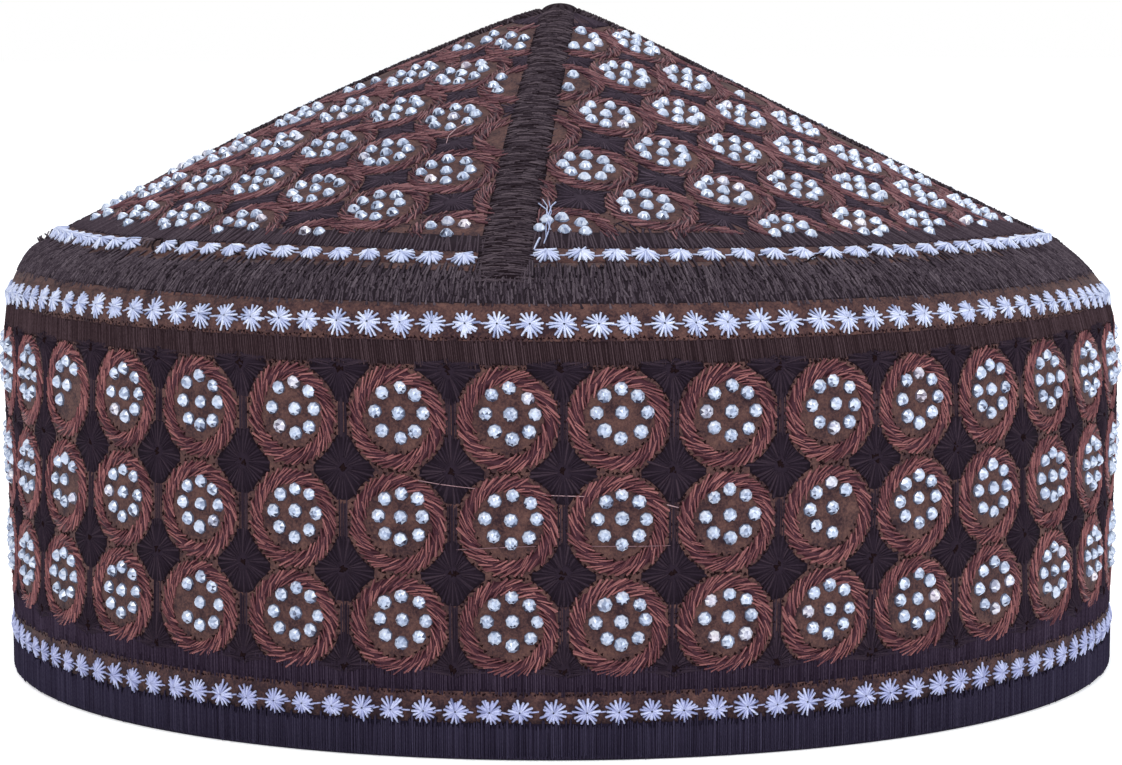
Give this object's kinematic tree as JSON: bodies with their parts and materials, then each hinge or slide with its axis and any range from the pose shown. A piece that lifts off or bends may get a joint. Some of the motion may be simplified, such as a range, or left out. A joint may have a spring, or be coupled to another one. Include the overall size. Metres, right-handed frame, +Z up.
{
  "type": "prayer cap",
  "caption": "Round embroidered cloth prayer cap with an upright band, a rounded dark satin shoulder and a low conical crown sewn from gores.",
  "frame": {"origin": "centre of the rim, on the surface that the cap rests on", "axes": "+Z up along the cap's axis, -Y towards the front seam that the picture shows, +X to the right of the picture"},
  "size_m": [0.1841, 0.1838, 0.1081],
  "materials": {
    "brown_cloth": "matt olive-brown suede-like cloth",
    "dark_satin": "dark brown and plum satin stitches with a soft sheen",
    "ring_thread": "mauve-red silk thread in slanting satin stitches",
    "star_thread": "pale lilac silk thread",
    "stone": "clear faceted foil-backed glass stones"
  },
  "bodies": {
    "root": {"rim_binding": "dark_satin", "band": "brown_cloth", "shoulder_roll": "dark_satin", "crown_gore_front_right": "brown_cloth", "crown_gore_back_right": "brown_cloth", "crown_gore_back_left": "brown_cloth", "crown_gore_front_left": "brown_cloth", "crown_seam_front": "dark_satin", "crown_seam_right": "dark_satin", "crown_seam_back": "dark_satin", "crown_seam_left": "dark_satin", "apex_button": "dark_satin"}
  },
  "joints": []
}
